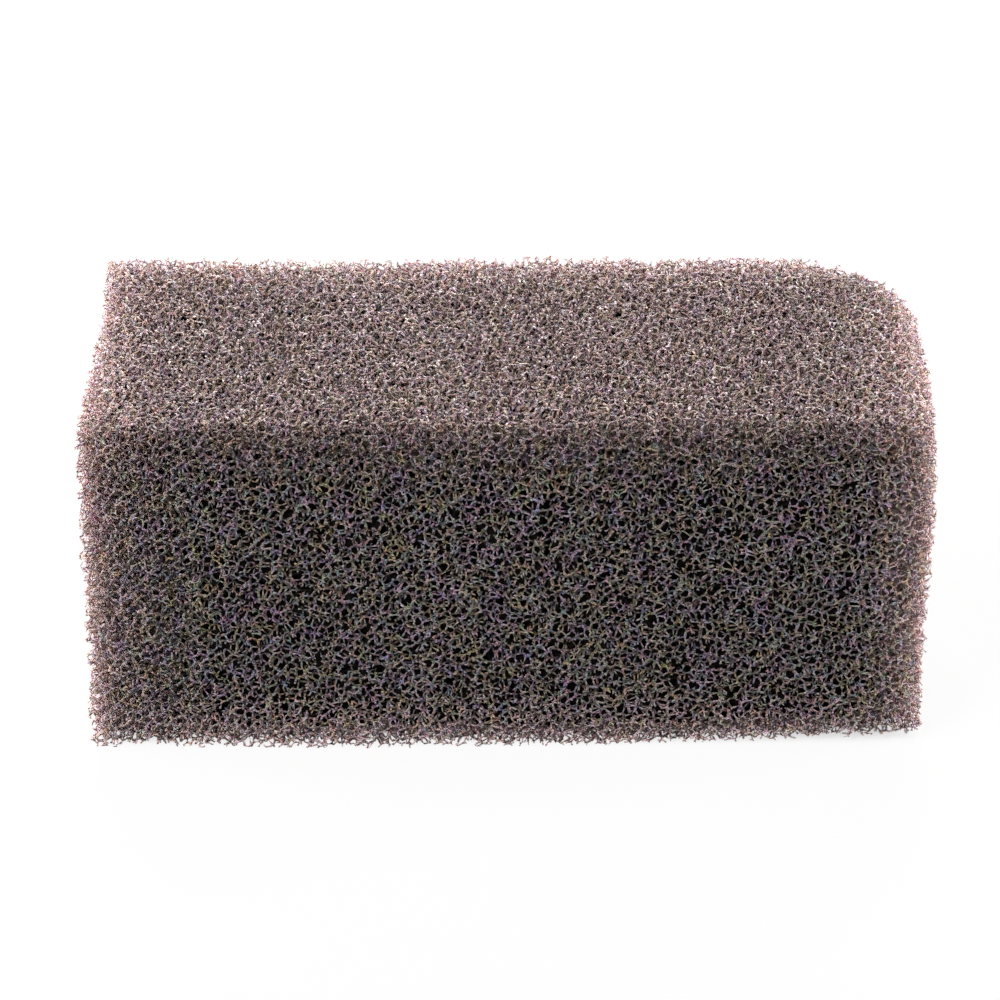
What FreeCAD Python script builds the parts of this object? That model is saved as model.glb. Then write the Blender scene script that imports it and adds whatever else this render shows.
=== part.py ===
import FreeCAD, Part
import math
import os

# Sponge filter insert: one block of open-cell (reticulated) foam that drops into a
# filter chamber. Water passes through the whole block. Three of its upright corners
# are sawn square, and the one at the back right is rounded to the chamber's wall.
#
# Sizes are in millimetres. The origin is the middle of the rectangle that the base
# stands on, +X runs along the block to the right, +Y points to the back, +Z is up.

LENGTH = 140.0  # along X
DEPTH = 65.0  # along Y, front to back
HEIGHT = 60.0  # along Z
CORNER_RADIUS = 25.0  # of the rounded upright corner, at the back right
EDGE_RADIUS = 0.8  # by which the torn outer pores soften every sawn edge

LEFT = -LENGTH / 2
RIGHT = LENGTH / 2
FRONT = -DEPTH / 2
BACK = DEPTH / 2

POSITION_TOLERANCE = 1e-3  # two points closer than this are the same point


def square_corners():
    """The three corners of the plan that are sawn square, at the level of the base."""
    return [
        FreeCAD.Vector(LEFT, FRONT, 0),
        FreeCAD.Vector(RIGHT, FRONT, 0),
        FreeCAD.Vector(LEFT, BACK, 0),
    ]


def plan_outline():
    """The block seen from above: a rectangle whose back right corner is an arc."""
    front_left, front_right, back_left = square_corners()
    centre = FreeCAD.Vector(RIGHT - CORNER_RADIUS, BACK - CORNER_RADIUS, 0)
    arc_start = centre + FreeCAD.Vector(CORNER_RADIUS, 0, 0)
    arc_end = centre + FreeCAD.Vector(0, CORNER_RADIUS, 0)
    half_way = CORNER_RADIUS * math.sqrt(0.5)
    arc_middle = centre + FreeCAD.Vector(half_way, half_way, 0)
    return Part.Wire([
        Part.LineSegment(front_left, front_right).toShape(),
        Part.LineSegment(front_right, arc_start).toShape(),
        Part.Arc(arc_start, arc_middle, arc_end).toShape(),
        Part.LineSegment(arc_end, back_left).toShape(),
        Part.LineSegment(back_left, front_left).toShape(),
    ])


def is_upright(edge):
    """Whether an edge runs the full height of the block."""
    return edge.BoundBox.ZLength > HEIGHT - POSITION_TOLERANCE


def stands_on(edge, corner):
    """Whether an edge has one end at a corner of the plan."""
    return any(v.Point.distanceToPoint(corner) < POSITION_TOLERANCE for v in edge.Vertexes)


def sawn_edges(block):
    """Edges where two cuts meet at an angle: the rims of the base and of the top, and
    the square upright corners, but not the seams where the arc runs into its flats."""
    rims = [edge for edge in block.Edges if not is_upright(edge)]
    uprights = [
        edge
        for edge in block.Edges
        if is_upright(edge) and any(stands_on(edge, corner) for corner in square_corners())
    ]
    return rims + uprights


def foam_block():
    """The outer shape of the foam, as one closed solid."""
    block = Part.Face(plan_outline()).extrude(FreeCAD.Vector(0, 0, HEIGHT))
    return block.makeFillet(EDGE_RADIUS, sawn_edges(block))


def main():
    os.makedirs("parts", exist_ok=True)
    foam_block().exportStep("parts/foam_block.step")


main()
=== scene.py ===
"""A sponge filter insert whose open foam is modelled strut by strut.

The insert is reticulated foam: a packing of bubbles of which only the struts between them are left.
BubbleTile packs bubbles into a cube that repeats in all directions and finds where their walls meet.
FoamWeb fills the outer layer of the block with those struts, cuts them off at its sawn faces and
thickens them, and FoamHeart is the inside that shows between them, with the deep foam's shade painted
on. Lengths are in metres.
"""

import itertools
import logging
import math
from dataclasses import dataclass, field, fields
from enum import Enum

import bmesh
import bpy
import numpy as np
from mathutils import Euler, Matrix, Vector


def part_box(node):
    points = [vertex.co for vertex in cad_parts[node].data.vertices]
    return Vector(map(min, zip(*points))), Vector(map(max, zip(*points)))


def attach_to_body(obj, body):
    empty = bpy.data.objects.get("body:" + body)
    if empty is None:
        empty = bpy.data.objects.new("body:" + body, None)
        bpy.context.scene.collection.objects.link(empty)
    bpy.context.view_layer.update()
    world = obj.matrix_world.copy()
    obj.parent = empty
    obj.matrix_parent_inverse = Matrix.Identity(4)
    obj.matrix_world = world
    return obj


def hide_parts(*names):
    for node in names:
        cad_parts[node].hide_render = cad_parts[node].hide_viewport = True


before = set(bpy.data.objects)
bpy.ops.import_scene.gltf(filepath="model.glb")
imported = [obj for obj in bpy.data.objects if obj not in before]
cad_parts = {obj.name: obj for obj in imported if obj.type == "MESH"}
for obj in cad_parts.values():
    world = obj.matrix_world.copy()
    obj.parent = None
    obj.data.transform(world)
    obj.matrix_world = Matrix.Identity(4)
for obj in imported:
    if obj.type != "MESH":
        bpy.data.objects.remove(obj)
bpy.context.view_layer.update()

log = logging.getLogger("sponge_filter")

MM = 0.001
CAD_NODE = "foam_block"
BODY = "root"
BAKE_MAP = "OFBake"
WHITE = (1.0, 1.0, 1.0, 1.0)
FILM = "film"  # the attribute that says which way a strut's points stand off its centre line
SPOT = "spot"  # the attribute that says where a point lies on a flat map of its side, in metres
# Of a sliver's four points, 0 and 1 are the ends of its near edge and 2 and 3 of its far edge.
SLIVER_FACES = ((0, 1, 2), (1, 0, 3), (2, 3, 0), (3, 2, 1))
SAME_PLACE = 1e-6  # metres; places this near to each other are the same
MIX_FIRST, MIX_SECOND, MIX_RESULT = 6, 7, 2  # where a Mix node has its two colours and their blend
NOISE_MIDDLE = 0.5
NOISE_GAIN = 4.0  # noise mostly keeps within a quarter of its middle, and this brings that to 1


# Node trees ------------------------------------------------------------------------------------------


class Wire:
    """A value in a node tree. Its operators add the Math nodes that work the result out."""

    def __init__(self, tree: "Tree", socket: bpy.types.NodeSocket) -> None:
        """Wraps an output socket of a tree."""
        self.tree = tree
        self.socket = socket

    def out(self, name: str) -> "Wire":
        """Another output of the same node."""
        return Wire(self.tree, self.socket.node.outputs[name])

    def __add__(self, other: object) -> "Wire":
        """This value plus another."""
        return self.tree.math("ADD", self, other)

    def __radd__(self, other: object) -> "Wire":
        """A number plus this value."""
        return self.tree.math("ADD", other, self)

    def __sub__(self, other: object) -> "Wire":
        """This value less another."""
        return self.tree.math("SUBTRACT", self, other)

    def __rsub__(self, other: object) -> "Wire":
        """A number less this value."""
        return self.tree.math("SUBTRACT", other, self)

    def __mul__(self, other: object) -> "Wire":
        """This value times another."""
        return self.tree.math("MULTIPLY", self, other)

    def __rmul__(self, other: object) -> "Wire":
        """A number times this value."""
        return self.tree.math("MULTIPLY", other, self)

    def __truediv__(self, other: object) -> "Wire":
        """This value over another."""
        return self.tree.math("DIVIDE", self, other)

    def __rtruediv__(self, other: object) -> "Wire":
        """A number over this value."""
        return self.tree.math("DIVIDE", other, self)

    def __gt__(self, other: object) -> "Wire":
        """1 where this value is the greater, else 0."""
        return self.tree.math("GREATER_THAN", self, other)

    def at_least(self, other: object) -> "Wire":
        """The greater of this value and another."""
        return self.tree.math("MAXIMUM", self, other)

    def at_most(self, other: object) -> "Wire":
        """The smaller of this value and another."""
        return self.tree.math("MINIMUM", self, other)

    def root(self) -> "Wire":
        """The square root of this value."""
        return self.tree.math("SQRT", self)


class Tree:
    """A node tree that is being built."""

    def __init__(self, tree: bpy.types.NodeTree) -> None:
        """Wraps an empty or cleared tree."""
        self.tree = tree

    def add(
        self,
        kind: str,
        settings: dict[str, object] | None = None,
        sockets: dict[object, object] | None = None,
        output: object = 0,
    ) -> Wire:
        """Adds one node.

        Args:
            kind: the node's type.
            settings: its properties, which are set first; "stops" are a ramp's (place, colour) pairs.
            sockets: what its inputs get, by name or number, as wires or plain values.
            output: the output that is returned, by name or number.

        Returns:
            That output, or for a node that has none its first input.
        """
        node = self.tree.nodes.new(kind)
        for name, value in (settings or {}).items():
            if name == "stops":
                self.set_stops(node.color_ramp, value)
            else:
                setattr(node, name, value)
        for key, value in (sockets or {}).items():
            self.feed(node.inputs[key], value)
        return Wire(self, node.outputs[output] if len(node.outputs) else node.inputs[0])

    def feed(self, socket: bpy.types.NodeSocket, value: object) -> None:
        """Gives an input what it gets.

        Args:
            socket: the input.
            value: a wire, which is linked to it, or the plain value that it is set to.
        """
        if isinstance(value, Wire):
            self.tree.links.new(value.socket, socket)
        else:
            socket.default_value = value

    @staticmethod
    def set_stops(ramp: bpy.types.ColorRamp, stops: list[tuple[float, tuple[float, ...]]]) -> None:
        """Gives a colour ramp its stops.

        Args:
            ramp: the ramp.
            stops: a (place, colour) pair for each stop, in order.
        """
        while len(ramp.elements) < len(stops):
            ramp.elements.new(1.0)
        for element, (place, colour) in zip(ramp.elements, stops):
            element.position = place
            element.color = (*colour, 1.0)

    def math(self, operation: str, *values: object) -> Wire:
        """Adds a Math node on these values."""
        return self.add("ShaderNodeMath", {"operation": operation}, dict(enumerate(values)))

    def vector(self, operation: str, *values: object) -> Wire:
        """Adds a Vector Math node on these vectors."""
        return self.add("ShaderNodeVectorMath", {"operation": operation}, dict(enumerate(values)))

    def scaled(self, vector: Wire, factor: object) -> Wire:
        """A vector times a number."""
        return self.add("ShaderNodeVectorMath", {"operation": "SCALE"}, {0: vector, "Scale": factor})

    def parts(self, vector: Wire) -> tuple[Wire, Wire, Wire]:
        """The X, Y and Z of a vector."""
        x = self.add("ShaderNodeSeparateXYZ", {}, {0: vector}, "X")
        return x, x.out("Y"), x.out("Z")

    def joined(self, x: object, y: object, z: object) -> Wire:
        """A vector of three values."""
        return self.add("ShaderNodeCombineXYZ", {}, {0: x, 1: y, 2: z})

    def blend(self, share: object, first: object, second: object) -> Wire:
        """A colour between two others, which is the second where share is 1."""
        sockets = {"Factor": share, MIX_FIRST: first, MIX_SECOND: second}
        return self.add("ShaderNodeMix", {"data_type": "RGBA"}, sockets, MIX_RESULT)

    def swells(self, place: Wire, size: object, seed: object, output: str) -> Wire:
        """Adds noise that swells and fades over a given size.

        Args:
            place: where it is read.
            size: from one swell to the next.
            seed: which noise it is.
            output: "Fac" for a number or "Color" for three, each about 0.5.

        Returns:
            The noise.
        """
        return self.add(
            "ShaderNodeTexNoise",
            {"noise_dimensions": "4D"},
            {"Vector": self.scaled(place, 1.0 / size), "W": seed, "Scale": 1.0, "Detail": 1.0},
            output,
        )

    def strays(self, place: Wire, size: object, seed: object) -> Wire:
        """Adds a vector of noise about 0, of the size and seed that swells() takes."""
        noise = self.swells(place, size, seed, "Color")
        return self.vector("SUBTRACT", noise, (NOISE_MIDDLE,) * 3)


class ShapeTree(Tree):
    """A geometry node group with named inputs, which ends in Realize Instances and Set Material."""

    KINDS = {
        float: "NodeSocketFloat",
        Vector: "NodeSocketVector",
        bpy.types.Material: "NodeSocketMaterial",
    }

    def __init__(self, name: str, inputs: dict[str, object]) -> None:
        """Makes the group.

        Args:
            name: the group's name.
            inputs: each named input with its value; the kind of socket follows from the value.
        """
        super().__init__(bpy.data.node_groups.new(name, "GeometryNodeTree"))
        face = self.tree.interface
        face.new_socket("Geometry", in_out="INPUT", socket_type="NodeSocketGeometry")
        for label, value in inputs.items():
            kind = next(k for t, k in self.KINDS.items() if isinstance(value, t))
            socket = face.new_socket(label, in_out="INPUT", socket_type=kind)
            if not isinstance(value, bpy.types.Material):
                socket.default_value = value
        face.new_socket("Geometry", in_out="OUTPUT", socket_type="NodeSocketGeometry")
        self.values = inputs
        self.entry = self.add("NodeGroupInput")

    def given(self, label: str) -> Wire:
        """The group's input of that name."""
        return self.entry.out(label)

    def close(self, geometry: Wire) -> None:
        """Makes what was built, smoothed, realized and dressed, the group's result.

        Args:
            geometry: what was built.
        """
        sockets = {"Geometry": geometry, "Shade Smooth": True}
        smooth = self.add("GeometryNodeSetShadeSmooth", {}, sockets)
        real = self.add("GeometryNodeRealizeInstances", {}, {0: smooth})
        sockets = {"Geometry": real, "Material": self.given("Material")}
        dressed = self.add("GeometryNodeSetMaterial", {}, sockets)
        self.add("NodeGroupOutput", {}, {"Geometry": dressed})

    def put_on(self, piece: bpy.types.Object) -> None:
        """Runs the group on a piece and keeps the result as its plain mesh, with no modifier left.

        Args:
            piece: the piece.
        """
        modifier = piece.modifiers.new(self.tree.name, "NODES")
        modifier.node_group = self.tree
        for item in self.tree.interface.items_tree:
            if item.in_out == "INPUT" and item.name in self.values:
                modifier[item.identifier] = self.values[item.name]
        graph = bpy.context.evaluated_depsgraph_get()
        made = bpy.data.meshes.new_from_object(
            piece.evaluated_get(graph), preserve_all_data_layers=True, depsgraph=graph
        )
        piece.modifiers.clear()
        raw = piece.data
        piece.data = made
        made.name = piece.name
        bpy.data.meshes.remove(raw)


def labelled(source: object, names: list[str]) -> dict[str, object]:
    """A dataclass's fields by their labels in a node group, such as "Front bow" for front_bow."""
    return {name.replace("_", " ").capitalize(): getattr(source, name) for name in names}


def put_up(name: str, data: bpy.types.ID) -> bpy.types.Object:
    """Makes an object and puts it in the scene.

    Args:
        name: its name.
        data: its mesh, lamp or camera.

    Returns:
        The object.
    """
    thing = bpy.data.objects.new(name, data)
    bpy.context.scene.collection.objects.link(thing)
    return thing


# The block -------------------------------------------------------------------------------------------


class Side(Enum):
    """A face of the block, or its rounded corner."""

    FRONT = "front"
    BACK = "back"
    LEFT = "left_end"
    RIGHT = "right_end"
    TOP = "top"
    BASE = "base"
    CORNER = "corner"


@dataclass(frozen=True)
class BlockShape:
    """The sawn block: a box with its base at z = 0, whose upright corner at +X and +Y is rounded."""

    low: Vector
    high: Vector
    corner_radius: float

    @classmethod
    def from_frame(cls) -> "BlockShape":
        """Reads the shape off the CAD block, whose back face is flat as far as the rounded corner.

        Returns:
            The shape.
        """
        low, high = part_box(CAD_NODE)
        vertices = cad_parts[CAD_NODE].data.vertices
        flat_to = max(v.co.x for v in vertices if v.co.y > high.y - SAME_PLACE)
        return cls(low, high, high.x - flat_to)

    @property
    def size(self) -> Vector:
        """Length, depth and height."""
        return self.high - self.low

    @property
    def corner_axis(self) -> Vector:
        """The foot of the rounded corner's axis."""
        return Vector((self.high.x - self.corner_radius, self.high.y - self.corner_radius, self.low.z))

    def depths(self, points: np.ndarray) -> dict[Side, np.ndarray]:
        """How deep points lie behind each side; negative is outside.

        Args:
            points: places, one to a row.

        Returns:
            Side to depths. The corner's count only in its quarter, and elsewhere are infinite.
        """
        x, y, z = points.T
        axis = self.corner_axis
        in_quarter = (x > axis.x) & (y > axis.y)
        from_axis = np.hypot(x - axis.x, y - axis.y)
        return {
            Side.FRONT: y - self.low.y,
            Side.BACK: self.high.y - y,
            Side.LEFT: x - self.low.x,
            Side.RIGHT: self.high.x - x,
            Side.TOP: self.high.z - z,
            Side.BASE: z - self.low.z,
            Side.CORNER: np.where(in_quarter, self.corner_radius - from_axis, np.inf),
        }

    def depth(self, points: np.ndarray) -> np.ndarray:
        """How deep points lie in the block; negative is outside."""
        return np.min(list(self.depths(points).values()), axis=0)

    def nearest(self, points: np.ndarray) -> np.ndarray:
        """For each point, the number of the side that it is nearest to, in the order of Side."""
        return np.argmin([self.depths(points)[side] for side in Side], axis=0)


@dataclass(frozen=True)
class HandCut:
    """How the soft block strays from its drawn shape, as it was sawn by hand and gives as it stands."""

    front_bow: float = 2.0 * MM  # the front's fullest stretch stands half this proud of the drawn face
    bow_middle: float = 0.3  # and is so far along the block
    foot_flare: float = 0.3 * MM  # its foot stands this much further out than its top
    left_hollow: float = 1.9 * MM  # the left end's middle lies this much deeper than its upright edges
    hollow_fade: float = 0.55  # by this share less at the top
    left_lean: float = 0.1 * MM  # the left end's top leans out this much further than its foot
    left_foot: float = 0.2 * MM  # and its foot stands in by this much
    right_lift: float = 1.6 * MM  # the base's right end rises this much off the floor
    ends_proud: float = 0.5 * MM  # the torn ends stand this proud of the drawn faces
    back_proud: float = 1.0 * MM  # and so does the back
    wander: float = 0.45 * MM  # by which every face strays from flat
    wander_size: float = 26 * MM  # from one swell of it to the next
    wander_seed: float = 4.0

    def inputs(self, shape: BlockShape) -> dict[str, object]:
        """The named inputs that a shape tree needs for move().

        Args:
            shape: the drawn shape.

        Returns:
            Each input's label with its value.
        """
        names = [item.name for item in fields(self)]
        return {**labelled(self, names), "Low corner": shape.low, "High corner": shape.high}

    @staticmethod
    def move(tree: ShapeTree, geometry: Wire) -> Wire:
        """Adds the nodes that bend the drawn shape into the real one.

        Args:
            tree: a tree with the inputs that inputs() names.
            geometry: what is bent.

        Returns:
            The bent geometry.
        """
        place = tree.add("GeometryNodeInputPosition")
        size = tree.vector("SUBTRACT", tree.given("High corner"), tree.given("Low corner"))
        share = tree.vector("DIVIDE", tree.vector("SUBTRACT", place, tree.given("Low corner")), size)
        along, across, up = tree.parts(share)
        from_fullest = along - tree.given("Bow middle")
        past_middle = (along * 2.0 - 1.0).at_least(0.0)
        from_centre = across * 2.0 - 1.0
        bow = tree.given("Front bow") * (0.5 - from_fullest * from_fullest * 2.0)
        flare = tree.given("Foot flare") * (1.0 - up) * (1.0 - up)
        hollow = tree.given("Left hollow") * (1.0 - from_centre * from_centre)
        hollow = hollow * (1.0 - up * tree.given("Hollow fade"))
        lean = tree.given("Left foot") - tree.given("Left lean") * up * (2.0 - up)
        lift = tree.given("Right lift") * past_middle * past_middle * (1.0 - up)
        stray = tree.strays(place, tree.given("Wander size"), tree.given("Wander seed"))
        stray = tree.scaled(stray, tree.given("Wander") * NOISE_GAIN)
        stray_x, stray_y, stray_z = tree.parts(stray)
        left, front = (hollow + lean) * (1.0 - along), (bow + flare) * (1.0 - across)
        proud_x = tree.given("Ends proud") * (along * 2.0 - 1.0)
        proud_y = tree.given("Back proud") * across
        offset = tree.joined(stray_x + left + proud_x, stray_y - front + proud_y, stray_z * up + lift)
        return tree.add("GeometryNodeSetPosition", {}, {"Geometry": geometry, "Offset": offset})


# The foam's web --------------------------------------------------------------------------------------


@dataclass
class BubbleTile:
    """Bubbles packed into a cube that repeats in all directions, and the struts where their walls meet.

    Four bubbles meet at a node, and each three of them share a strut that leads off it. Lengths here
    count in the packing's own lattice cells, each of which holds two bubbles.
    """

    pitch: float = 1.36 * MM  # the side of a cube as large as one bubble
    cells_per_side: int = 9
    jitter: float = 0.22  # by how much of a lattice cell a bubble's middle is off its even place
    seed: int = 7
    reach: int = 27  # so many nearest bubbles can touch a bubble
    rivals: int = 40  # so many nearest bubbles are tested for lying nearer to a node
    shortest: float = 0.22  # struts that are shorter are pushed out to about this
    pushes: int = 6
    margin: float = 2.2  # no neighbour is further outside the tile
    flattest: float = 1e-6  # walls whose determinant is less cross nowhere
    rounding: float = 1e-9  # by which a node may seem too near a bubble, from rounding

    place: np.ndarray = field(init=False)  # per node: where it is
    other: np.ndarray = field(init=False)  # per node and strut: the node at its far end
    shift: np.ndarray = field(init=False)  # and how many tiles away that node is
    length: np.ndarray = field(init=False)  # and how long the strut is
    way: np.ndarray = field(init=False)  # and the unit vector along it
    edge: np.ndarray = field(init=False)  # and a unit vector square to it, along its near end's edge

    @property
    def cell(self) -> float:
        """The side of one lattice cell, in metres."""
        return self.pitch * 2 ** (1 / 3)

    @property
    def side(self) -> float:
        """The side of the tile, in metres."""
        return self.cell * self.cells_per_side

    def __post_init__(self) -> None:
        """Packs the bubbles and finds their nodes and struts."""
        middles = self.bubble_middles()
        self.place, bubbles, tiles = self.nodes_between(middles)
        self.join_nodes(bubbles, tiles)
        self.spread_nodes()

    def bubble_middles(self) -> np.ndarray:
        """Sets the bubbles' middles out on a body-centred lattice and shakes them a little.

        Returns:
            The middles, in lattice cells.
        """
        count = np.arange(self.cells_per_side)
        corners = np.stack(np.meshgrid(count, count, count, indexing="ij"), -1).reshape(-1, 3)
        even = np.concatenate([corners, corners + 0.5])
        shake = np.random.default_rng(self.seed).uniform(-self.jitter, self.jitter, even.shape)
        return (even + shake) % self.cells_per_side

    def nearest_bubbles(self, middles: np.ndarray) -> tuple[np.ndarray, np.ndarray, np.ndarray]:
        """The nearest bubbles of each bubble, across the tile's borders too.

        Args:
            middles: the bubbles' middles.

        Returns:
            Per bubble and neighbour, nearest first: its number, how many tiles away it is, and the way
            to it.
        """
        steps = np.array(list(itertools.product((-1, 0, 1), repeat=3)))
        copies = (middles[None] + steps[:, None] * self.cells_per_side).reshape(-1, 3)
        number = np.tile(np.arange(len(middles)), len(steps))
        tile = np.repeat(steps, len(middles), axis=0)
        close = ((copies > -self.margin) & (copies < self.cells_per_side + self.margin)).all(1)
        copies, number, tile = copies[close], number[close], tile[close]
        found = []
        for middle in middles:
            away = copies - middle
            distance = (away**2).sum(1)
            nearest = np.argpartition(distance, self.rivals + 1)[: self.rivals + 1]
            found.append(nearest[np.argsort(distance[nearest])][1:])
        found = np.array(found)
        return number[found], tile[found], copies[found] - middles[:, None]

    def nodes_between(self, middles: np.ndarray) -> tuple[np.ndarray, np.ndarray, np.ndarray]:
        """Finds every node, which is as far from four bubbles' middles and nearer to no other.

        Args:
            middles: the bubbles' middles.

        Returns:
            Per node: its place, its four bubbles, and how many tiles away each of those is.
        """
        number, tile, away = self.nearest_bubbles(middles)
        half = (away**2).sum(2) / 2
        threes = np.array(list(itertools.combinations(range(self.reach), 3)))
        places, bubbles, tiles = [], [], []
        for me, middle in enumerate(middles):
            mine = threes[(number[me][threes] > me).all(1)]  # so that each node is found only once
            planes = away[me][mine]
            crossing = np.abs(np.linalg.det(planes)) > self.flattest
            mine, planes = mine[crossing], planes[crossing]
            spot = np.linalg.solve(planes, half[me][mine][..., None])[..., 0]
            real = (spot @ away[me].T <= half[me] + self.rounding).all(1)
            mine, spot = mine[real], spot[real]
            places.append(spot + middle)
            bubbles.append(np.insert(number[me][mine], 0, me, axis=1))
            tiles.append(np.insert(tile[me][mine], 0, 0, axis=1))
        return np.concatenate(places), np.concatenate(bubbles), np.concatenate(tiles)

    def join_nodes(self, bubbles: np.ndarray, tiles: np.ndarray) -> None:
        """Pairs up the nodes that share three bubbles: those are the two ends of a strut.

        Args:
            bubbles: per node, its four bubbles.
            tiles: per node and bubble, how many tiles away that bubble is.
        """
        count = len(bubbles)
        # A key says which three bubbles share a strut and how they lie, whichever tile they are in.
        keys, homes = [], []
        for left_out in range(4):
            three = [k for k in range(4) if k != left_out]
            order = np.array(three)[np.argsort(bubbles[:, three], axis=1)]
            trio = np.take_along_axis(bubbles, order, 1)
            where = np.take_along_axis(tiles, order[..., None], 1)
            relative = (where[:, 1:] - where[:, :1]).reshape(count, 6)
            keys.append(np.concatenate([trio, relative], 1))
            homes.append(where[:, 0])
        key = np.stack(keys, 1).reshape(4 * count, -1)
        home = np.stack(homes, 1).reshape(4 * count, 3)
        # Two equal keys are the two ends of one strut.
        _, group = np.unique(key, axis=0, return_inverse=True)
        order = np.argsort(group.ravel(), kind="stable")
        group = group.ravel()[order]
        twins = np.flatnonzero(group[1:] == group[:-1])
        one, two = order[twins], order[twins + 1]
        far = np.full(4 * count, -1)
        far[one], far[two] = two, one
        if (far < 0).any():
            raise ValueError("a strut has one end only, so reach is too small for this packing")
        self.other = (far // 4).reshape(count, 4)
        self.shift = (home - home[far]).reshape(count, 4, 3)

    def struts(self) -> tuple[np.ndarray, np.ndarray]:
        """Measures the struts between the nodes.

        Returns:
            Per node and strut, its length and the unit vector along it.
        """
        along = self.place[self.other] + self.shift * self.cells_per_side - self.place[:, None]
        length = np.linalg.norm(along, axis=2)
        return length, along / length[..., None]

    def spread_nodes(self) -> None:
        """Pushes nodes apart that are too near each other, as a film's pull does in real foam."""
        for _ in range(self.pushes):
            length, way = self.struts()
            push = np.maximum(self.shortest - length, 0.0) / 2
            self.place = self.place - (way * push[..., None]).sum(1)
        self.length, self.way = self.struts()
        edge = np.cross(self.way, np.roll(self.way, 1, axis=1))
        self.edge = edge / np.linalg.norm(edge, axis=2, keepdims=True)


@dataclass
class FoamFill:
    """The struts of the foam that fill the outer layer of the block."""

    tile: BubbleTile
    shape: BlockShape
    heart: "FoamHeart"
    turn: Euler = field(default_factory=lambda: Euler((0.39, 1.1, 1.09)))  # so that no row shows
    fray: float = 0.7 * MM  # the saw tears cells out to depths of up to this in front, on top and below
    rough_fray: float = 1.9 * MM  # and at the ends, behind and round the corner
    worn_radius: float = 3.5 * MM  # to which the edge between front and top is torn
    seed: int = 5
    halvings: int = 12  # to find where a strut leaves the block

    start: np.ndarray = field(init=False)  # per strut: where it starts, in the outer layer
    end: np.ndarray = field(init=False)  # where it ends: in the heart, in the layer or on a sawn face
    edge: np.ndarray = field(init=False)  # the unit vector along the edge at its start
    far_edge: np.ndarray = field(init=False)  # and along the edge at its end

    def __post_init__(self) -> None:
        """Repeats the tile over the block and keeps the struts in its outer layer."""
        # The copies of the turned tile that cover the block, counted along the tile's own axes.
        turn = np.array(self.turn.to_matrix())
        middle = np.array((self.shape.low + self.shape.high) / 2)
        reach = np.array(self.shape.size) / 2
        corners = np.array(list(itertools.product((-1, 1), repeat=3))) * reach @ turn / self.tile.side
        first = np.floor(corners.min(0)).astype(int) - 1
        number = np.ceil(corners.max(0)).astype(int) + 2 - first
        steps = np.array(list(itertools.product(*[range(n) for n in number])))

        # Those of them that may reach into the outer layer, and their nodes.
        centres = (steps + first + 0.5) * self.tile.side @ turn.T + middle
        around = self.tile.side  # further than the furthest node of a tile is from its centre
        used = (self.shape.depth(centres) > -around) & (self.heart.depth(centres) < around)
        near = np.flatnonzero(used)
        shifts = (steps[near] + first) * self.tile.cells_per_side
        places = self.tile.place[None] + shifts[:, None]
        world = (places.reshape(-1, 3) * self.tile.cell) @ turn.T + middle

        # The nodes that the saw leaves, and a table of their numbers by copy and place in the tile.
        torn = np.random.default_rng(self.seed).uniform(size=len(world))
        kept = (self.solidity(world) > torn) & (self.heart.depth(world) < 0)
        copy, kind = np.divmod(np.flatnonzero(kept), len(self.tile.place))
        copy = near[copy]
        place = world[kept]
        index = np.full((len(steps), len(self.tile.place)), -1)
        index[copy, kind] = np.arange(len(place))

        # Their struts, each taken once: from its first node, or from its only one that is left.
        step = steps[copy][:, None] + self.tile.shift[kind]
        flat = (step[..., 0] * number[1] + step[..., 1]) * number[2] + step[..., 2]
        far = index[flat, self.tile.other[kind]]
        node, strut = np.nonzero((far < 0) | (far > np.arange(len(place))[:, None]))
        kind = kind[node]
        way = self.tile.way[kind, strut] @ turn.T
        self.start = place[node]
        self.end = self.start + way * self.tile.length[kind, strut][:, None] * self.tile.cell
        self.edge = self.tile.edge[kind, strut] @ turn.T
        self.far_edge = np.cross(way, self.edge)
        self.saw_off()

    def solidity(self, points: np.ndarray) -> np.ndarray:
        """The share of the cells that the saw leaves.

        Args:
            points: places, one to a row.

        Returns:
            Each point's share: negative outside the block, and 1 or more where it leaves them all.
        """
        rough = (Side.LEFT, Side.RIGHT, Side.BACK, Side.CORNER)
        depths = self.shape.depths(points)
        shares = []
        for side, depth in depths.items():
            shares.append(depth / (self.rough_fray if side in rough else self.fray))
        past = [np.maximum(self.worn_radius - depths[side], 0) for side in (Side.FRONT, Side.TOP)]
        shares.append((self.worn_radius - np.hypot(*past)) / self.fray)
        return np.min(shares, axis=0)

    def saw_off(self) -> None:
        """Ends the struts that stick out of the block at its faces."""
        out = np.flatnonzero(self.shape.depth(self.end) < 0)
        start, along = self.start[out], self.end[out] - self.start[out]
        low, high = np.zeros(len(out)), np.ones(len(out))
        for _ in range(self.halvings):
            middle = (low + high) / 2
            inside = self.shape.depth(start + along * middle[:, None]) > 0
            low, high = np.where(inside, middle, low), np.where(inside, high, middle)
        self.end[out] = start + along * high[:, None]


@dataclass(frozen=True)
class WebPart:
    """A stretch of the web that is one piece: what starts nearest to one side, along part of it."""

    name: str
    side: Side
    axis: int = 0  # that the stretch runs along
    start: float = -1.0  # as a share of the block's size along it
    stop: float = 2.0


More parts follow.
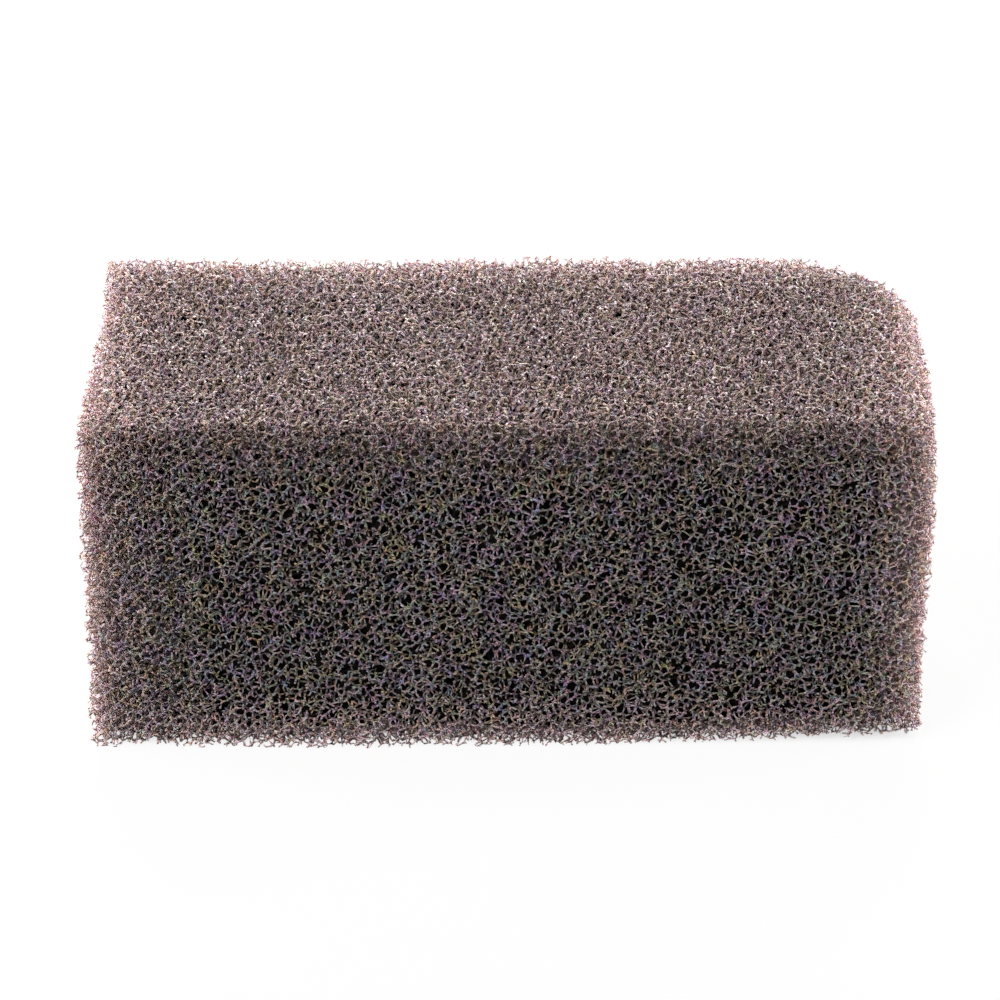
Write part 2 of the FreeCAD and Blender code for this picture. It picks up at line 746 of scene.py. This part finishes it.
def web_parts() -> list[WebPart]:
    """Lists the pieces of the web. The larger sides are in two or three, so that no piece is too heavy.

    Returns:
        The parts, side by side in the order of Side.
    """
    thirds = [("left", 0, -1.0, 1 / 3), ("middle", 0, 1 / 3, 2 / 3), ("right", 0, 2 / 3, 2.0)]
    halves = [("front", 1, -1.0, 0.5), ("back", 1, 0.5, 2.0)]
    stretches = dict.fromkeys((Side.FRONT, Side.TOP, Side.BACK, Side.BASE), thirds)
    stretches[Side.LEFT] = halves
    parts = []
    for side in Side:
        name = f"web_{side.value}"
        if side in stretches:
            parts += [WebPart(f"{name}_{word}", side, *where) for word, *where in stretches[side]]
        else:
            parts.append(WebPart(name, side))
    return parts


@dataclass
class FoamWeb:
    """The struts of the foam, each a closed sliver between two edges that cross."""

    shape: BlockShape
    cut: HandCut
    fill: FoamFill
    finish: "StrutFinish"
    thickness: float = 0.213 * MM  # from a strut's centre line to the ends of its edges
    thickness_change: float = 0.35  # by how much of that it varies from place to place
    change_size: float = 3.0 * MM
    crowding: float = 1.0 * MM  # the bubbles crowd here and stretch there, by moves of a third of this
    crowding_size: float = 2.3 * MM
    seed: float = 11.0
    softness: float = 0.7  # how full the foam is of itself when it stands
    map_margin: float = 0.01  # round each part's flat map

    def build(self) -> list[bpy.types.Object]:
        """Makes every part of the web.

        Returns:
            The pieces, each with its finish and at its place.
        """
        part_list = web_parts()
        number = self.part_numbers(part_list)
        tree = self.thickening_tree()
        pieces = []
        for k, part in enumerate(part_list):
            piece = put_up(part.name, self.slivers(part, number == k))
            tree.put_on(piece)
            pieces.append(piece)
        return pieces

    def part_numbers(self, part_list: list[WebPart]) -> np.ndarray:
        """Shares the struts out among the parts.

        Args:
            part_list: the parts.

        Returns:
            For each strut, the number of its part.
        """
        side = np.array(list(Side))[self.shape.nearest(self.fill.start)]
        share = (self.fill.start - np.array(self.shape.low)) / np.array(self.shape.size)
        number = np.full(len(side), -1)
        for k, part in enumerate(part_list):
            along = share[:, part.axis]
            number[(side == part.side) & (along >= part.start) & (along <= part.stop)] = k
        return number

    def slivers(self, part: WebPart, mine: np.ndarray) -> bpy.types.Mesh:
        """The closed slivers of one part, with no thickness yet: their points lie on the centre lines.

        Args:
            part: the part, whose side gives the flat map.
            mine: which struts of the fill are in it.

        Returns:
            The mesh, whose FILM attribute says which way each point stands off its centre line.
        """
        fill = self.fill
        start, end, edge, far_edge = (a[mine] for a in (fill.start, fill.end, fill.edge, fill.far_edge))
        points = np.stack([start, start, end, end], 1).reshape(-1, 3)
        films = np.stack([edge, -edge, far_edge, -far_edge], 1).reshape(-1, 3)
        faces = np.arange(0, len(points), 4)[:, None, None] + np.array(SLIVER_FACES)
        faces = faces.reshape(-1, 3)
        mesh = bpy.data.meshes.new(part.name)
        mesh.vertices.add(len(points))
        mesh.vertices.foreach_set("co", points.astype(np.float32).ravel())
        mesh.loops.add(faces.size)
        mesh.loops.foreach_set("vertex_index", faces.astype(np.int32).ravel())
        mesh.polygons.add(len(faces))
        mesh.polygons.foreach_set("loop_start", np.arange(0, faces.size, 3, dtype=np.int32))
        mesh.update(calc_edges=True)
        film = mesh.attributes.new(FILM, "FLOAT_VECTOR", "POINT")
        film.data.foreach_set("vector", films.astype(np.float32).ravel())
        flat = self.flat_places(part.side, points)
        spot = mesh.attributes.new(SPOT, "FLOAT_VECTOR", "POINT")
        spot.data.foreach_set("vector", np.insert(flat, 2, 0.0, axis=1).astype(np.float32).ravel())
        low, high = flat.min(0), flat.max(0)
        stretched = self.map_margin + (flat - low) / (high - low) * (1 - 2 * self.map_margin)
        uv = mesh.uv_layers.new(name=BAKE_MAP)
        uv.uv.foreach_set("vector", stretched[faces.ravel()].astype(np.float32).ravel())
        return mesh

    def flat_places(self, side: Side, points: np.ndarray) -> np.ndarray:
        """Places on a flat map that looks straight at a side.

        Args:
            side: the side.
            points: places, one to a row.

        Returns:
            Their places on the map, in metres.
        """
        x, y, z = points.T
        axis = self.shape.corner_axis
        flat = {
            Side.FRONT: (x, z),
            Side.BACK: (-x, z),
            Side.TOP: (x, y),
            Side.BASE: (x, -y),
            Side.LEFT: (-y, z),
            Side.RIGHT: (y, z),
            Side.CORNER: (np.arctan2(y - axis.y, x - axis.x) * self.shape.corner_radius, z),
        }[side]
        return np.stack(flat, 1)

    def thickening_tree(self) -> ShapeTree:
        """The tree that thickens the struts, trims them to the sawn faces and bends the block.

        Returns:
            The tree, ready to be put on each part.
        """
        own = ["thickness", "thickness_change", "change_size", "crowding", "crowding_size", "seed"]
        inputs = {
            **labelled(self, own),
            "Corner radius": self.shape.corner_radius,
            **self.cut.inputs(self.shape),
            "Material": self.finish.material(),
        }
        tree = ShapeTree("foam_web", inputs)
        place = tree.add("GeometryNodeInputPosition")
        noise = tree.swells(place, tree.given("Change size"), tree.given("Seed"), "Fac")
        change = (noise - NOISE_MIDDLE) * NOISE_GAIN * tree.given("Thickness change")
        vector = {"data_type": "FLOAT_VECTOR"}
        film = tree.add("GeometryNodeInputNamedAttribute", vector, {"Name": FILM})
        film = tree.scaled(film, tree.given("Thickness") * (1.0 + change))
        crowd = tree.strays(place, tree.given("Crowding size"), tree.given("Seed"))
        crowd = tree.scaled(crowd, tree.given("Crowding") * 2.0)
        sockets = {"Geometry": tree.given("Geometry"), "Offset": tree.vector("ADD", crowd, film)}
        thickened = tree.add("GeometryNodeSetPosition", {}, sockets)
        trimmed = self.trimmed(tree, thickened)
        bare = tree.add("GeometryNodeRemoveAttribute", {}, {"Geometry": trimmed, "Name": FILM})
        tree.close(HandCut.move(tree, bare))
        return tree

    @staticmethod
    def trimmed(tree: ShapeTree, geometry: Wire) -> Wire:
        """Adds the nodes that press back what stands out of the sawn faces and the rounded corner.

        Args:
            tree: a tree with the inputs "Low corner", "High corner" and "Corner radius".
            geometry: what is pressed.

        Returns:
            The pressed geometry.
        """
        place = tree.add("GeometryNodeInputPosition")
        boxed = tree.vector("MINIMUM", place, tree.given("High corner"))
        boxed = tree.vector("MAXIMUM", boxed, tree.given("Low corner"))
        x, y, z = tree.parts(boxed)
        high_x, high_y, _ = tree.parts(tree.given("High corner"))
        radius = tree.given("Corner radius")
        off_x, off_y = x - (high_x - radius), y - (high_y - radius)
        in_quarter = (off_x > 0.0) * (off_y > 0.0)
        distance = (off_x * off_x + off_y * off_y).root()
        inward = ((radius / distance.at_least(SAME_PLACE)).at_most(1.0) - 1.0) * in_quarter
        round_x, round_y = x + off_x * inward, y + off_y * inward
        target = tree.joined(round_x, round_y, z)
        return tree.add("GeometryNodeSetPosition", {}, {"Geometry": geometry, "Position": target})


# The heart -------------------------------------------------------------------------------------------


@dataclass
class FoamHeart:
    """The inside of the block, where hardly any light gets: a closed shape whose finish paints the deep
    foam's cells in shade.
    """

    shape: BlockShape
    cut: HandCut
    finish: "HeartFinish"
    front_cover: float = 1.35 * MM  # of open web in front of it
    top_cover: float = 2.4 * MM  # over it
    far_cover: float = 2.8 * MM  # behind it and at its right end
    left_cover: float = 3.4 * MM
    base_cover: float = 0.7 * MM  # and under it
    edge_radius: float = 11.0 * MM
    left_radius: float = 20.0 * MM  # of the upright edge in front at the left
    base_radius: float = 6.0 * MM  # of the edges round its base
    run_step: float = 8.0 * MM  # between points along a straight run, so that it can bend
    round_steps: int = 8  # in a rounding
    weld: float = 0.01 * MM  # points nearer than this to each other are made one
    fill: float = 0.7  # how full the soft piece is

    @property
    def low(self) -> Vector:
        """Its lowest corner."""
        return self.shape.low + Vector((self.left_cover, self.front_cover, self.base_cover))

    @property
    def high(self) -> Vector:
        """Its highest corner."""
        return self.shape.high - Vector((self.far_cover, self.far_cover, self.top_cover))

    @property
    def corner_radius(self) -> float:
        """Of the upright corner that is rounded, as the block's is."""
        return self.shape.corner_radius - self.far_cover

    def depth(self, points: np.ndarray) -> np.ndarray:
        """How deep points lie in the heart.

        Args:
            points: places, one to a row.

        Returns:
            Each point's depth; negative is outside.
        """
        middle, half = np.array((self.low + self.high) / 2), np.array(self.high - self.low) / 2
        off = points - middle
        right, behind = off[:, 0] > 0, off[:, 1] > 0
        radius = np.where(right & behind, self.corner_radius, self.edge_radius)
        radius = np.where(~right & ~behind, self.left_radius, radius)
        plan = self.past_rounding(np.abs(off[:, :2]) - half[:2], radius)
        both = np.stack([plan, np.abs(off[:, 2]) - half[2]], 1)
        return -self.past_rounding(both, np.where(off[:, 2] > 0, self.edge_radius, self.base_radius))

    @staticmethod
    def past_rounding(outside: np.ndarray, radius: np.ndarray | float) -> np.ndarray:
        """How far points lie outside a rounded corner, given how far they are outside its two sides."""
        past = outside + np.reshape(radius, (-1, 1))
        return np.linalg.norm(np.maximum(past, 0), axis=1) + np.minimum(past.max(1), 0) - radius

    def quarter_turns(self) -> list[float]:
        """The turns, in radians, at the points of a rounding from 0 to a right angle."""
        return [math.radians(90 * k / self.round_steps) for k in range(self.round_steps + 1)]

    def outline(self, inset: float) -> list[Vector]:
        """The heart's plan, drawn in by an inset.

        Args:
            inset: how far it is drawn in, up to the edge radius.

        Returns:
            Its points, anticlockwise, as many for each inset.
        """
        corners = [
            (self.high.x, self.low.y, self.edge_radius, -90),
            (self.high.x, self.high.y, self.corner_radius, 0),
            (self.low.x, self.high.y, self.edge_radius, 90),
            (self.low.x, self.low.y, self.left_radius, 180),
        ]
        middle = (self.low + self.high) / 2
        arcs = []
        for x, y, radius, first_turn in corners:
            axis_x = x - math.copysign(radius, x - middle.x)
            axis = Vector((axis_x, y - math.copysign(radius, y - middle.y)))
            start = math.radians(first_turn)
            turns = [start + turn for turn in self.quarter_turns()]
            arcs.append([axis + Vector((math.cos(t), math.sin(t))) * (radius - inset) for t in turns])
        points = []
        for arc, next_arc in zip(arcs, arcs[1:] + arcs[:1]):
            span = max(self.high.x - self.low.x, self.high.y - self.low.y)
            count = math.ceil(span / self.run_step)
            points += arc
            points += [arc[-1].lerp(next_arc[0], k / count) for k in range(1, count)]
        return points

    def levels(self) -> list[tuple[float, float]]:
        """Works out where the heart's outlines go.

        Returns:
            The (height, inset) of each outline, from the bottom up.
        """
        rounding = [(1 - math.cos(t), 1 - math.sin(t)) for t in self.quarter_turns()]
        wall_low, wall_high = self.low.z + self.base_radius, self.high.z - self.edge_radius
        count = math.ceil((wall_high - wall_low) / self.run_step)
        levels = [(self.low.z + self.base_radius * h, self.base_radius * i) for h, i in rounding]
        levels += [(wall_low + (wall_high - wall_low) * k / count, 0.0) for k in range(1, count)]
        for height, inset in reversed(rounding):
            levels.append((self.high.z - self.edge_radius * height, self.edge_radius * inset))
        return levels

    def build(self) -> bpy.types.Object:
        """Makes the heart.

        Returns:
            The piece, with its finish and at its place.
        """
        model = bmesh.new()
        rings = []
        for height, inset in self.levels():
            rings.append([model.verts.new((*point, height)) for point in self.outline(inset)])
        for lower, upper in zip(rings, rings[1:]):
            for k in range(len(lower)):
                after = (k + 1) % len(lower)
                model.faces.new((lower[k], lower[after], upper[after], upper[k]))
        model.faces.new(reversed(rings[0]))
        model.faces.new(rings[-1])
        bmesh.ops.remove_doubles(model, verts=model.verts, dist=self.weld)
        bmesh.ops.recalc_face_normals(model, faces=model.faces)
        mesh = bpy.data.meshes.new("foam_heart")
        model.to_mesh(mesh)
        model.free()
        heart = put_up("foam_heart", mesh)
        inputs = {**self.cut.inputs(self.shape), "Material": self.finish.material()}
        tree = ShapeTree("bent_heart", inputs)
        tree.close(HandCut.move(tree, tree.given("Geometry")))
        tree.put_on(heart)
        return heart


# Finishes --------------------------------------------------------------------------------------------


def new_material(name: str) -> tuple[bpy.types.Material, Tree, Wire]:
    """Makes a material with nothing in it but its output.

    Args:
        name: the material's name.

    Returns:
        The material, its tree, and the piece's own coordinates.
    """
    material = bpy.data.materials.new(name)
    material.use_nodes = True
    material.node_tree.nodes.clear()
    tree = Tree(material.node_tree)
    return material, tree, tree.add("ShaderNodeTexCoord", {}, {}, "Object")


@dataclass(frozen=True)
class StrutFinish:
    """Dull charcoal foam rubber, mauve in places and tan in others, with a speckle of all hues.

    It is painted paler near the block's edges, for the light that gets through the foam there, and on
    top, for the light that falls on it.
    """

    shape: BlockShape
    mauve: tuple[float, float, float] = (0.45, 0.33, 0.4)
    tan: tuple[float, float, float] = (0.46, 0.37, 0.3)
    grey: tuple[float, float, float] = (0.395, 0.355, 0.348)
    faded: tuple[float, float, float] = (0.86, 0.65, 0.635)  # painted glow near edges, for the light that gets through the foam there
    faded_top: tuple[float, float, float] = (0.47, 0.332, 0.318)  # and painted light on top
    fade_depth: float = 16.0 * MM  # the painted light reaches in from its ends and its back, and down from its top
    foot_fade: float = 12.0 * MM  # and the painted glow reaches up from its base
    edge_fade: float = 22.0 * MM  # and the painted glow falls away from its edges over this
    # how strong the painted glow is
    fade_share: float = 1.0
    # how strong the painted light on top is
    top_share: float = 0.7
    patch_size: float = 4.0 * MM
    patch_stops: tuple[float, float, float] = (0.36, 0.5, 0.64)  # the noise at which each hue is pure
    speckle: tuple[float, float, float] = (1.5, 0.65, 1.6)  # by how much red, green and blue stray
    faded_speckle: float = 0.6  # as a share of that, where light is painted on
    speckle_size: float = 1.1 * MM
    roughness: float = 0.35
    shine: float = 0.35  # the specular level
    seed: float = 3.0

    @staticmethod
    def nearness(distance: Wire, reach: float) -> Wire:
        """1 at no distance, falling to 0 at the reach and beyond."""
        return (1.0 - distance / reach).at_least(0.0).at_most(1.0)

    def material(self) -> bpy.types.Material:
        """Makes the material.

        Returns:
            The material.
        """
        material, tree, place = new_material("foam_strut")
        spot = tree.add("ShaderNodeAttribute", {"attribute_name": SPOT}, {}, "Vector")
        noise = tree.swells(spot, self.patch_size, self.seed, "Fac")
        stops = list(zip(self.patch_stops, (self.mauve, self.grey, self.tan)))
        ramp = tree.add("ShaderNodeValToRGB", {"stops": stops}, {0: noise})
        x, y, z = tree.parts(place)
        low, high = self.shape.low, self.shape.high
        from_end = (x - low.x).at_most(high.x - x)
        from_face = (y - low.y).at_most(high.y - y)
        from_level = (z - low.z).at_most(high.z - z)
        lesser, greater = from_end.at_most(from_face), from_end.at_least(from_face)
        from_edge = lesser.at_least(greater.at_most(from_level))  # the middle one of the three
        # Painted light: a pale colour near the edges, ends, back and foot for the light that gets
        # through the foam there, and another on top for the light that falls on it.
        near_edge = self.nearness(from_edge, self.edge_fade)
        near_side = self.nearness(from_end.at_most(high.y - y), self.fade_depth)
        near_foot = self.nearness(z - low.z, self.foot_fade)
        near_top = self.nearness(high.z - z, self.fade_depth)
        top_share = near_top * near_top * self.top_share
        share = near_side.at_least(near_foot) * near_edge * self.fade_share
        top = tree.blend(top_share, ramp, (*self.faded_top, 1.0))
        faded = tree.blend(share, top, (*self.faded, 1.0))
        stray = tree.strays(spot, self.speckle_size, self.seed)
        calm = share.at_least(top_share) * (1.0 - self.faded_speckle)
        stray = tree.scaled(tree.vector("MULTIPLY", stray, self.speckle), 1.0 - calm)
        stray = tree.vector("ADD", stray, (1.0, 1.0, 1.0))
        colour = tree.vector("MULTIPLY", faded, stray)
        shader = tree.add(
            "ShaderNodeBsdfPrincipled",
            {},
            {"Base Color": colour, "Roughness": self.roughness, "Specular IOR Level": self.shine},
        )
        tree.add("ShaderNodeOutputMaterial", {}, {"Surface": shader})
        return material


@dataclass(frozen=True)
class HeartFinish:
    """The deep foam in painted shade: faint struts round black cells."""

    # Both colours are painted shade: deep in the block the foam is the same rubber, but hardly any
    # light gets there.
    strut: tuple[float, float, float] = (0.03, 0.026, 0.025)
    hollow: tuple[float, float, float] = (0.003, 0.0027, 0.0027)
    cell_size: float = 1.6 * MM
    strut_width: float = 0.3  # of a cell
    dent: float = 0.3 * MM  # how deep the cells look
    roughness: float = 0.9

    def material(self) -> bpy.types.Material:
        """Makes the material.

        Returns:
            The material.
        """
        material, tree, place = new_material("deep_foam")
        edge = tree.add(
            "ShaderNodeTexVoronoi",
            {"feature": "DISTANCE_TO_EDGE"},
            {"Vector": place, "Scale": 1.0 / self.cell_size},
            "Distance",
        )
        in_cell = (edge / self.strut_width).at_most(1.0)
        colour = tree.blend(in_cell, (*self.strut, 1.0), (*self.hollow, 1.0))
        sockets = {"Strength": 1.0, "Distance": self.dent, "Height": 1.0 - in_cell}
        bump = tree.add("ShaderNodeBump", {}, sockets)
        sockets = {"Base Color": colour, "Roughness": self.roughness, "Normal": bump}
        shader = tree.add("ShaderNodeBsdfPrincipled", {}, {**sockets, "Specular IOR Level": 0.0})
        tree.add("ShaderNodeOutputMaterial", {}, {"Surface": shader})
        return material


# The studio ------------------------------------------------------------------------------------------


@dataclass(frozen=True)
class SoftLight:
    """A square lamp that looks at the block's middle from one side."""

    name: str
    turn: float  # degrees round the block, 0 in front and 90 at its right end
    rise: float  # degrees above the floor
    distance: float
    side: float
    glow: float  # how bright its face is, where 1 is white

    def place(self, target: Vector) -> None:
        """Puts the lamp up.

        Args:
            target: the place that it looks at.
        """
        data = bpy.data.lights.new(self.name, "AREA")
        data.shape = "SQUARE"
        data.size = self.side
        data.energy = self.glow * math.pi * self.side**2
        turn, rise = math.radians(self.turn), math.radians(self.rise)
        flat = Vector((math.sin(turn), -math.cos(turn), 0.0)) * math.cos(rise)
        away = flat + Vector((0.0, 0.0, math.sin(rise)))
        lamp = put_up(self.name, data)
        lamp.location = target + away * self.distance
        lamp.rotation_euler = away.to_track_quat("Z", "Y").to_euler()


@dataclass
class Studio:
    """The white table that the block stands on, the lamps and the camera."""

    shape: BlockShape
    floor_side: float = 1.6  # it ends where the lamps stand
    floor_grey: float = 0.18  # what the floor throws back of the light on it, though it looks white
    floor_share: float = 0.1  # of the floor's white that is lit, and so shows the shadow
    under_fade: float = 12.0 * MM  # so far under the block the floor is all shadow
    sky: float = 0.02  # how bright the room is, where 1 is white
    lens: float = 147.3
    camera_rise: float = 28.3  # degrees
    camera_distance: float = 668.5 * MM
    camera_clear: float = 10.0 * MM  # nothing nearer to the camera shows
    aim_along: float = -1.0 * MM  # from the front face's middle
    aim_up: float = 46.7 * MM  # on the front face
    lamps: tuple[SoftLight, ...] = (
        SoftLight("overhead", -40, 46, 0.9, 0.3, 11.5),
        SoftLight("left_wall", -90, 6, 0.8, 0.6, 12.0),
        SoftLight("right_wall", 90, 6, 0.8, 0.6, 12.0),
        SoftLight("back_wall", 180, 10, 0.9, 0.8, 8.0),
    )

    def build(self) -> None:
        """Sets everything up round the block."""
        target = (self.shape.low + self.shape.high) / 2
        for lamp in self.lamps:
            lamp.place(target)
            log.info("lamp %s", lamp.name)
        self.place_floor()
        self.light_room()
        self.place_camera()
        bpy.context.scene.view_settings.view_transform = "Standard"

    @staticmethod
    def seen(tree: Tree) -> Wire:
        """1 for a ray from the camera, or off a glossy thing, or through glass, else 0.

        Args:
            tree: the tree that asks.

        Returns:
            The 1 or 0.
        """
        camera = tree.add("ShaderNodeLightPath", {}, {}, "Is Camera Ray")
        glossy, through = camera.out("Is Glossy Ray"), camera.out("Is Transmission Ray")
        return camera.at_least(glossy).at_least(through)

    def place_floor(self) -> None:
        """Lays the white table top, which keeps a trace of the block's shadow."""
        material, tree, place = new_material("white_table")
        seen = self.seen(tree)
        grey = (*(self.floor_grey,) * 3, 1.0)
        lit = tree.add("ShaderNodeBsdfDiffuse", {}, {"Color": tree.blend(seen, grey, WHITE)})
        plain = tree.add("ShaderNodeEmission", {}, {"Color": WHITE, "Strength": 1.0})
        low, high = self.shape.low, self.shape.high
        x, y, _ = tree.parts(place)
        beside = (low.x - x).at_least(x - high.x).at_least(low.y - y).at_least(y - high.y)
        open_floor = (1.0 + beside / self.under_fade).at_least(0.0).at_most(1.0)
        share = seen * open_floor * (1.0 - self.floor_share)
        mixed = tree.add("ShaderNodeMixShader", {}, {0: share, 1: lit, 2: plain})
        tree.add("ShaderNodeOutputMaterial", {}, {"Surface": mixed})
        half = self.floor_side / 2
        mesh = bpy.data.meshes.new("table_top")
        corners = [(-half, -half, 0), (half, -half, 0), (half, half, 0), (-half, half, 0)]
        mesh.from_pydata(corners, [], [(0, 1, 2, 3)])
        mesh.materials.append(material)
        floor = put_up("table_top", mesh)
        log.info("floor %s", floor.name)

    def light_room(self) -> None:
        """Gives the room a soft white light from all round, and shows it as plain white."""
        world = bpy.data.worlds.new("white_room")
        bpy.context.scene.world = world
        world.use_nodes = True
        world.node_tree.nodes.clear()
        tree = Tree(world.node_tree)
        seen = self.seen(tree)
        strength = seen + (1.0 - seen) * self.sky
        background = tree.add("ShaderNodeBackground", {}, {"Color": WHITE, "Strength": strength})
        tree.add("ShaderNodeOutputWorld", {}, {"Surface": background})

    def place_camera(self) -> None:
        """Puts up the camera, which looks down at the front face."""
        rise = math.radians(self.camera_rise)
        back = Vector((0.0, -math.cos(rise), math.sin(rise)))
        middle = (self.shape.low.x + self.shape.high.x) / 2
        aim = Vector((middle + self.aim_along, self.shape.low.y, self.shape.low.z + self.aim_up))
        data = bpy.data.cameras.new("camera")
        data.lens = self.lens
        data.clip_start = self.camera_clear
        camera = put_up("camera", data)
        camera.location = aim + back * self.camera_distance
        camera.rotation_euler = back.to_track_quat("Z", "Y").to_euler()
        bpy.context.scene.camera = camera


# Assembly --------------------------------------------------------------------------------------------


def attach(piece: bpy.types.Object) -> None:
    """Makes a finished piece part of the object and stands it for the plain block.

    Args:
        piece: the piece.
    """
    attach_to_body(piece, BODY)
    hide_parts(CAD_NODE)
    log.info("%s: %d triangles", piece.name, sum(len(f.vertices) - 2 for f in piece.data.polygons))


def main() -> None:
    """Builds the insert and its studio."""
    logging.basicConfig(level=logging.INFO, format="%(name)s: %(message)s")
    shape = BlockShape.from_frame()
    cut = HandCut()
    Studio(shape).build()
    heart = FoamHeart(shape, cut, HeartFinish())
    attach(heart.build())
    web = FoamWeb(shape, cut, FoamFill(BubbleTile(), shape, heart), StrutFinish(shape))
    for piece in web.build():
        attach(piece)


if __name__ == "__main__":
    main()
